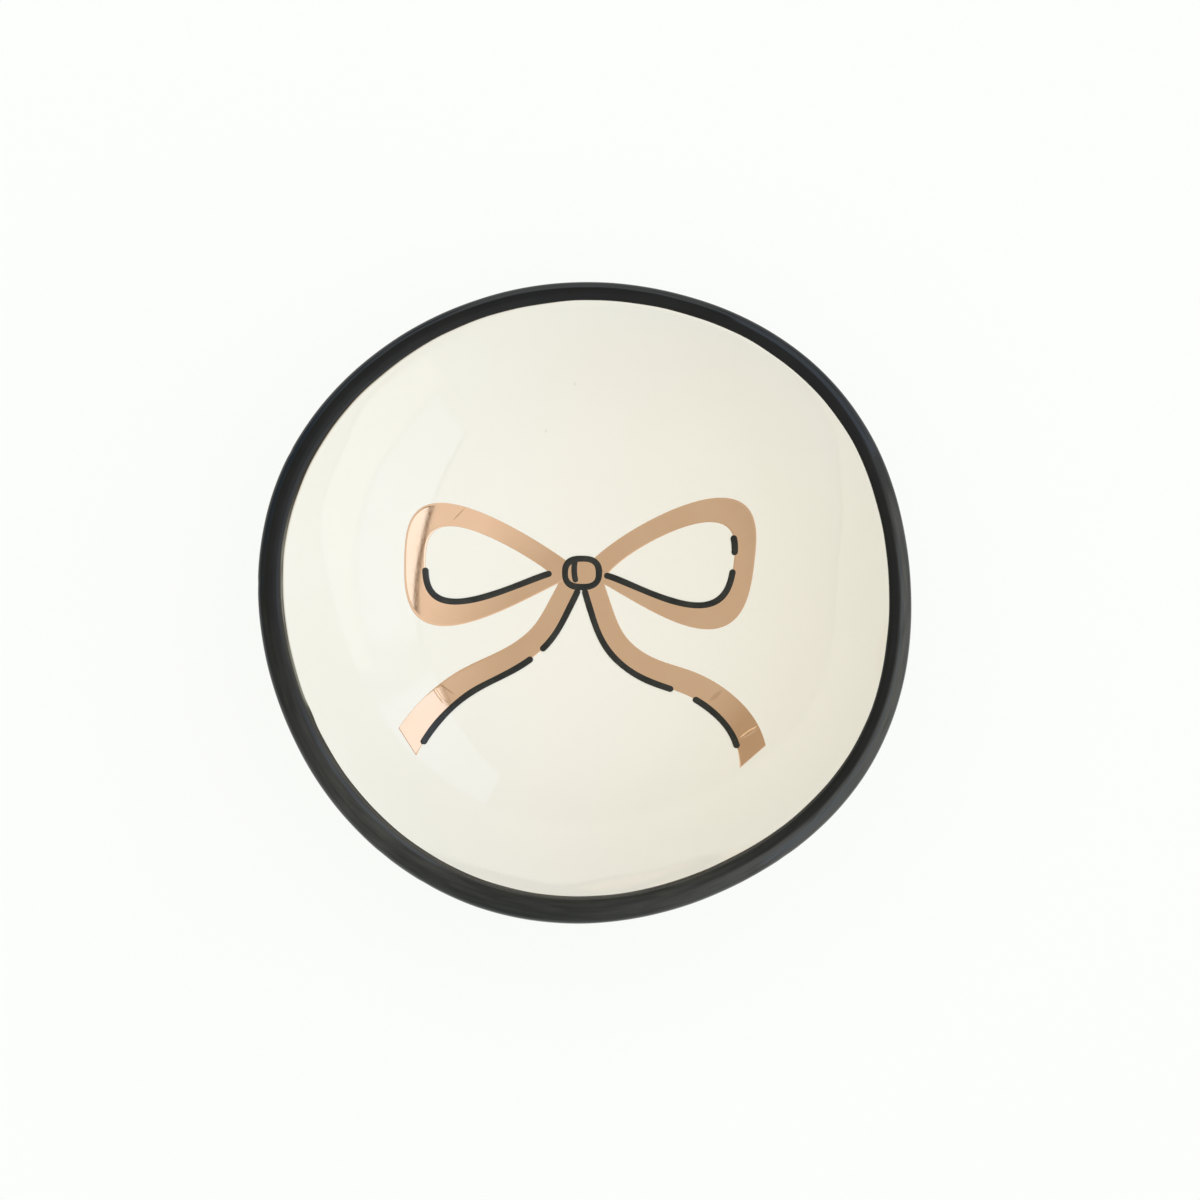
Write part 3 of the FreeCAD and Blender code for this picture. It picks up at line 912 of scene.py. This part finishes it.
def addPrint(name, drawn, node, material, mirrored=False):
    # a closed thin layer on the glaze: plan points, their faces and the thickness at each point
    plan, faces, thickness = drawn
    x = bow["x"] + (-plan[:, 0] if mirrored else plan[:, 0])
    y = bow["y"] + plan[:, 1]
    ground = glazeHeight(x, y)
    top = np.stack([x, y, ground + thickness], axis=-1)
    under = np.stack([x, y, ground - bow["sink"]], axis=-1)
    count = len(plan)
    sides = [[start, end, end + count, start + count] for start, end in openEdges(faces)]
    below = [[corner + count for corner in reversed(face)] for face in faces]
    addPiece(name, np.concatenate([top, under]), faces + below + sides, [node], material)


def layer(first, second, closed, thickness):
    # points and faces of a ribbon between two edges that have as many points each
    across = np.array(bow["across"])[:, None]
    plan = first[:, None] * (1 - across) + second[:, None] * across
    width = np.linalg.norm(second - first, axis=1)[:, None]
    edgeDistance = np.minimum(across[:, 0], 1 - across[:, 0]) * width
    full = smooth(edgeDistance / bow["edgeRound"])
    height = thickness * (bow["edgeShare"] + (1 - bow["edgeShare"]) * full)
    return plan.reshape(-1, 2), gridFaces(gridIndex(plan), closed, False), height.ravel()


def loopPoint(turn, side, start, end, top, low):
    # a drop from start to end and back along a loop: first its lower half, then its upper one
    lower = (low, bow["loopLowBluntness"], turn < pi)
    upper = (top, bow["loopTopBluntness"][side], turn >= pi)
    across = 0
    for half, bluntness, here in (lower, upper):
        widestTurn = 2 * atan(sqrt(1 + bluntness))
        widest = sin(widestTurn) * sin(widestTurn / 2) ** bluntness
        across = across - here * half * np.sin(turn) * np.abs(np.sin(turn / 2)) ** bluntness / widest
    along = start + (end - start) * (1 - ((1 + np.cos(turn)) / 2) ** bow["loopSquareness"])
    along = along + across * bow["loopLean"][side]
    tiltX, tiltY = np.cos(bow["loopTilt"]), np.sin(bow["loopTilt"])
    return np.stack([along * tiltX - across * tiltY, along * tiltY + across * tiltX], axis=-1)


def loopEdge(turn, side):
    return loopPoint(turn, side, 0.0, bow["loopLength"][side], bow["loopTop"][side], bow["loopLow"][side])


def holeEdge(turn, side):
    end = bow["loopLength"][side] - bow["loopRibbon"]
    top = bow["loopTop"][side] - bow["loopRibbon"]
    low = bow["loopLow"][side] - bow["loopRibbonLow"]
    edge = loopPoint(turn, side, bow["holeStart"][side], end, top, low)
    edge[..., 1] -= bow["holeDrop"][side] * (1 + np.cos(turn)) / 2
    return edge


def knotOval(angle):
    across, up = bow["knotWidth"] / 2, bow["knotHeight"] / 2
    power = bow["knotSquareness"]
    size = (np.abs(np.cos(angle)) ** power + np.abs(np.sin(angle)) ** power) ** (1 / power)
    return np.stack([across * np.cos(angle) / size, up * np.sin(angle) / size], axis=-1)


def knotAngle(point):
    return np.arctan2(point[1] / bow["knotHeight"], point[0] / bow["knotWidth"])


loops = {"steps": 420, "knotSteps": 10, "trials": 4001}  # trials: where a loop comes out of the knot


def makeLoop(side):
    turn = np.linspace(0, 2 * pi, loops["trials"])
    outer = loopEdge(turn, side)
    clear = np.hypot(*outer.T) > np.hypot(*knotOval(knotAngle(outer.T)).T)
    start, end = turn[clear][0], turn[clear][-1]
    along = np.linspace(start, end, loops["steps"])
    fromKnot = knotOval(np.linspace(0, knotAngle(loopEdge(start, side)), loops["knotSteps"] + 1))
    toKnot = knotOval(np.linspace(knotAngle(loopEdge(end, side)), 0, loops["knotSteps"] + 1))
    tip = holeEdge(np.zeros(loops["knotSteps"]), side)
    first = np.concatenate([fromKnot[:-1], loopEdge(along, side), toKnot[1:-1]])
    second = np.concatenate([tip, holeEdge(np.linspace(0, 2 * pi, loops["steps"]), side), tip[1:]])
    drawn = layer(first, second, True, bow["loopGold"])
    addPrint("goldLoop" + side, drawn, "bow_loop_" + side.lower(), gold, side == "Left")


tails = {"steps": 240, "routeSteps": 800}


def lengthAlong(line):
    return np.concatenate([[0], np.cumsum(np.linalg.norm(np.diff(line, axis=0), axis=1))])


def curveThrough(points, steps):
    # smooth line through a few points, and its direction: cubic pieces, each with its bend running on
    points = np.array(points)
    at = lengthAlong(points)
    gaps, rises = np.diff(at), np.diff(points, axis=0)
    known = np.gradient(points, at, axis=0, edge_order=2)
    system = np.eye(len(at))
    for i in range(1, len(at) - 1):
        system[i, i - 1 : i + 2] = gaps[i], 2 * (gaps[i - 1] + gaps[i]), gaps[i - 1]
        known[i] = 3 * (gaps[i] / gaps[i - 1] * rises[i - 1] + gaps[i - 1] / gaps[i] * rises[i])
    steepness = np.linalg.solve(system, known)
    place = np.linspace(0, at[-1], steps + 1)
    piece = np.clip(np.searchsorted(at, place, side="right") - 1, 0, len(gaps) - 1)
    gap = gaps[piece][:, None]
    t = (place - at[piece])[:, None] / gap
    line = (2 * t**3 - 3 * t**2 + 1) * points[piece] + (3 * t**2 - 2 * t**3) * points[piece + 1]
    line = line + gap * ((t**3 - 2 * t**2 + t) * steepness[piece] + (t**3 - t**2) * steepness[piece + 1])
    along = np.gradient(line, axis=0)
    return line, along / np.linalg.norm(along, axis=1)[:, None]


def sideways(along):
    return np.stack([-along[:, 1], along[:, 0]], axis=-1)


def tailEdge(side, edgeSide):
    # one edge of a tail: 1 is the outer edge and -1 the inner
    aside = (bow["tailRibbon"] + bow["inkWidth"] + bow["inkClearance"]) / 2 - bow["tailCross"]
    start = (aside, -bow["knotHeight"] / 4)
    line, along = curveThrough([start, *bow["tailRoute"][side]], tails["routeSteps"])
    last = 1 - bow["tailSlant"] if edgeSide > 0 else 1.0
    share = np.linspace(0, last, tails["steps"] + 1)
    place = np.round(share * tails["routeSteps"]).astype(int)
    half = (bow["tailRibbon"] + (bow["tailRibbonEnd"] - bow["tailRibbon"]) * share) / 2
    return line[place] + edgeSide * half[:, None] * sideways(along)[place]


def makeTail(side):
    drawn = layer(tailEdge(side, 1), tailEdge(side, -1), False, bow["tailGold"])
    addPrint("goldTail" + side, drawn, "bow_tail_" + side.lower(), gold, side == "Left")


knot = {"steps": 96, "rings": (0, 0.25, 0.5, 0.7, 0.82, 0.90, 0.95, 0.98, 1), "fall": 0.25}
knotTurn = np.linspace(0, 2 * pi, knot["steps"], endpoint=False)


def makeKnot():
    rings = np.array(knot["rings"])[None, :, None]
    plan = knotOval(knotTurn)[:, None] * rings
    index = gridIndex(plan)
    index[:, 0] = index[0, 0]
    height = np.broadcast_to(bow["knotGold"] * (1 - knot["fall"] * rings[0, :, 0] ** 2), index.shape)
    drawn = plan.reshape(-1, 2), gridFaces(index, True, False), height.ravel()
    addPrint("goldKnot", drawn, "bow_knot", gold)


for side in ("Left", "Right"):
    makeTail(side)
    makeLoop(side)
makeKnot()
print("gold bow made")

# ink lines, drawn with a soft round pen along the inner edges of the ribbon, as shares of those edges
pen = {
    "steps": 160,
    "capSteps": 8,
    "loopPoints": 60,
    "tailPoints": 40,
    "across": (-1, -0.93, -0.8, -0.6, -0.3, 0, 0.3, 0.6, 0.8, 0.93, 1),
    "edgeShare": 0.62,  # thickness at an edge
    "fullness": 2.5,
    "unevenness": 0.05,
    "unevenLengths": (0.0021, 0.0034),
    "unevenStart": 1.3,
    "knotUneven": (3, 0.8),  # waves round the knot, and where they start
    "loopLines": {
        "Left": {"ink_loop": (0.034, 0.470)},
        "Right": {"ink_loop": (0.006, 0.470), "ink_loop_end": (0.532, 0.578)},
    },
    "tailLines": {
        "Left": {"ink_tail": (0.036, 0.303), "ink_tail_end": (0.372, 0.930)},
        "Right": {"ink_tail": (0.039, 0.555), "ink_tail_end": (0.660, 0.905)},
    },
    "names": {
        "ink_loop": "inkLoop",
        "ink_loop_end": "inkLoopEnd",
        "ink_tail": "inkTail",
        "ink_tail_end": "inkTailEnd",
    },
    "crease": ((-0.40, 0.91), (-0.46, 0.20), (-0.39, -0.48)),  # shares of the knot's half sizes
    "creaseWidth": 0.0009,
}


def penLayer(line, along, half, closed):
    across = np.array(pen["across"])
    plan = line[:, None] + sideways(along)[:, None] * (half[:, None] * across)[..., None]
    full = 1 - np.abs(across) ** pen["fullness"]
    height = np.broadcast_to(bow["ink"] * (pen["edgeShare"] + (1 - pen["edgeShare"]) * full), plan.shape[:2])
    index = gridIndex(plan)
    if not closed:  # the line's ends close to a point
        index[0] = index[0, 0]
        index[-1] = index[-1, 0]
    return plan.reshape(-1, 2), gridFaces(index, closed, False), height.ravel()


def penLine(points, width):
    line, along = curveThrough(points, pen["steps"])
    length = lengthAlong(line)
    # round ends: half a pen width is added at each, and the line narrows over it as a circle does
    half = width / 2
    count = pen["capSteps"]
    cap = half * np.sin(np.linspace(pi / 2, 0, count + 1))[:-1][:, None]
    line = np.concatenate([line[0] - along[0] * cap, line, line[-1] + along[-1] * cap[::-1]])
    along = np.concatenate([np.repeat(along[:1], count, axis=0), along, np.repeat(along[-1:], count, axis=0)])
    capHalf = np.sqrt(np.maximum(half**2 - cap[:, 0] ** 2, 0))
    quick, slow = [length / wavelength for wavelength in pen["unevenLengths"]]
    drift = 1 + pen["unevenness"] * np.sin(quick + pen["unevenStart"]) * np.sin(slow)
    return penLayer(line, along, np.concatenate([capHalf, half * drift, capHalf[::-1]]), False)


def stretch(edge, first, last):
    # even points along part of an edge
    length = lengthAlong(edge)
    place = np.linspace(first, last, pen["tailPoints"]) * length[-1]
    return np.stack([np.interp(place, length, edge[:, 0]), np.interp(place, length, edge[:, 1])], axis=-1)


def addInk(name, drawn, node, mirrored=False):
    addPrint(name, drawn, node, ink, mirrored)


def makeLines(side):
    drawn = {}
    for node, (first, last) in pen["loopLines"][side].items():
        drawn[node] = holeEdge(2 * pi * np.linspace(first, last, pen["loopPoints"]), side)
    for node, (first, last) in pen["tailLines"][side].items():
        drawn[node] = stretch(tailEdge(side, -1), first, last)
    for node, points in drawn.items():
        line = penLine(points, bow["inkWidth"])
        addInk(pen["names"][node] + side, line, node + "_" + side.lower(), side == "Left")


def makeKnotLine():
    line = knotOval(knotTurn)
    along = np.roll(line, -1, axis=0) - np.roll(line, 1, axis=0)
    along = along / np.linalg.norm(along, axis=1)[:, None]
    count, start = pen["knotUneven"]
    drift = 1 + pen["unevenness"] * np.sin(count * knotTurn + start)
    addInk("inkKnot", penLayer(line, along, bow["inkWidth"] / 2 * drift, True), "ink_knot")


def makeCrease():
    points = [(x * bow["knotWidth"] / 2, y * bow["knotHeight"] / 2) for x, y in pen["crease"]]
    addInk("inkCrease", penLine(points, pen["creaseWidth"]), "ink_crease")


for side in ("Left", "Right"):
    makeLines(side)
makeKnotLine()
makeCrease()
print("ink lines made")

# white table in a bright room, with a wide window on the right
studio = {
    "floorSize": 4.0,
    "floorLevel": -0.00005,
    "floorColor": (0.200, 0.201, 0.198),
    "floorShade": 0.97,
    "floorGlow": 0.79,
    "floorGlowColor": (0.985, 1.0, 0.975, 1),
    "ceiling": (0.600, 0.588, 0.575),
    "frontWall": (0.48, 0.49, 0.50),
    "backWall": (0.48, 0.435, 0.38),
    "wallSpan": (-0.3, 0.3),  # from the front wall to the back one
    "wallTop": (0.45, 0.72),  # from wall to ceiling, as the sine of the angle over the horizon
    "haze": (0.36, 0.48, 0.66),  # cool light low down
    "hazeTop": (0.05, 0.18),
    "windowTurn": radians(-10),
    "windowWall": (0.86, 0.855, 0.90),
    "windowSide": (0.0, 0.25),
    "glowSpan": (-0.06, 0.52),  # how far the window's light spreads over the ceiling
    "glowLean": 0.8,
    "glowFront": -0.15,
    # panes and bars: edges across and up, in distances from the window, and their colour
    "shapes": (
        (-1.75, 0.21, 0.335, 0.945, (1.15, 1.32, 1.64)),
        (-1.95, 0.32, 0.02, 0.295, (1.40, 1.38, 1.30)),
        (0.46, 1.70, 0.03, 1.04, (1.10, 1.26, 1.62)),
        (-3.40, -2.15, 0.25, 0.80, (0.90, 1.00, 1.20)),
        (-1.85, 0.33, 0.945, 1.010, (0.27, 0.25, 0.24)),
        (-1.75, -0.70, 0.715, 0.730, (0.75, 0.80, 0.95)),
        (0.44, 1.75, 1.10, 1.13, (0.45, 0.44, 0.44)),
    ),
    "soft": 0.008,
    "lampPower": 14.7,
    "lampSize": 3.0,
    "lampPlace": (-0.30, -0.08, 1.40),
}


def makeFloor():
    mesh = bpy.data.meshes.new("floor")
    half, level = studio["floorSize"] / 2, studio["floorLevel"]
    corners = [(-half, -half, level), (half, -half, level), (half, half, level), (-half, half, level)]
    mesh.from_pydata(corners, [], [(0, 1, 2, 3)])
    glow = {"Emission_Color": studio["floorGlowColor"], "Emission_Strength": studio["floorGlow"]}
    material, tree, shader = newMaterial("paleTable", Roughness=0.6, Specular_IOR_Level=0.0, **glow)
    shade = useGroup(tree, handTone, Scale=3.0, Detail=2.0)
    deeper = tuple(studio["floorShade"] * part for part in studio["floorColor"])
    feed(tree, shader.inputs["Base Color"], mixColor(tree, shade, studio["floorColor"], deeper))
    mesh.materials.append(material)
    floor = bpy.data.objects.new("floor", mesh)
    bpy.context.scene.collection.objects.link(floor)


def between(tree, value, low, high):
    soft = studio["soft"]
    risen = ramp(tree, value, low - soft, low + soft)
    return mathNode(tree, "SUBTRACT", risen, ramp(tree, value, high - soft, high + soft))


def makeRoom():
    world = bpy.data.worlds.new("brightRoom")
    world.use_nodes = True
    tree = world.node_tree
    direction = addNode(tree, "TexCoord").outputs["Generated"]
    inputs = {"Vector": direction, "Angle": studio["windowTurn"]}
    turned = addNode(tree, "VectorRotate", inputs, rotation_type="Z_AXIS")
    x, y, up = addNode(tree, "SeparateXYZ", {"Vector": turned.outputs[0]}).outputs
    ahead = mathNode(tree, "MAXIMUM", x, 0.01)  # never zero
    across, height = mathNode(tree, "DIVIDE", y, ahead), mathNode(tree, "DIVIDE", up, ahead)
    onRight = ramp(tree, x, *studio["windowSide"])

    # ceiling and plain walls, then the window's wall, which the daylight brushes
    walls = mixColor(tree, ramp(tree, y, *studio["wallSpan"]), studio["frontWall"], studio["backWall"])
    low = mixColor(tree, ramp(tree, up, *studio["hazeTop"]), studio["haze"], walls)
    room = mixColor(tree, ramp(tree, up, *studio["wallTop"]), low, studio["ceiling"])
    plainX, plainY, _ = addNode(tree, "SeparateXYZ", {"Vector": direction}).outputs
    behind = mathNode(tree, "MAXIMUM", plainY, studio["glowFront"])
    reachOfGlow = mathNode(tree, "SUBTRACT", plainX, times(tree, behind, studio["glowLean"]))
    room = mixColor(tree, ramp(tree, reachOfGlow, *studio["glowSpan"]), room, studio["windowWall"])
    for left, right, bottom, top, color in studio["shapes"]:
        shape = times(tree, between(tree, across, left, right), between(tree, height, bottom, top))
        room = mixColor(tree, times(tree, shape, onRight), room, color)
    tree.links.new(room, tree.nodes["Background"].inputs["Color"])
    bpy.context.scene.world = world


def makeLamp():
    # soft light from above that doesn't show in the glazes
    light = bpy.data.lights.new("softLamp", "AREA")
    light.shape = "DISK"
    light.size = studio["lampSize"]
    light.energy = studio["lampPower"]
    lamp = bpy.data.objects.new("softLamp", light)
    lamp.location = studio["lampPlace"]
    lamp.rotation_euler = Vector(studio["lampPlace"]).to_track_quat("Z", "Y").to_euler()
    lamp.visible_glossy = False
    lamp.visible_camera = False
    bpy.context.scene.collection.objects.link(lamp)


makeFloor()
makeRoom()
makeLamp()
bpy.context.scene.view_settings.view_transform = "Standard"

# the camera looks down from the front, 12 degrees off the vertical
view = {
    "tilt": radians(12),
    "distance": 0.800,
    "target": (0.00247, -0.00011, endZ),
    "pixelsPerMetre": 6450,  # at the target, in an image 1200 pixels wide
    "imageWidth": 1200,
    "sensor": 36.0,
    "clipStart": 0.01,
}


def makeCamera():
    camera = bpy.data.cameras.new("camera")
    camera.sensor_width = view["sensor"]
    camera.lens = view["sensor"] * view["pixelsPerMetre"] * view["distance"] / view["imageWidth"]
    camera.clip_start = view["clipStart"]
    seer = bpy.data.objects.new("camera", camera)
    away = Vector((0, -np.sin(view["tilt"]), np.cos(view["tilt"])))
    place = Vector(view["target"]) + away * view["distance"]
    seer.matrix_world = Matrix.Translation(place) @ Matrix.Rotation(view["tilt"], 4, "X")
    bpy.context.scene.collection.objects.link(seer)
    bpy.context.scene.camera = seer


makeCamera()
print("stage, light and camera set")
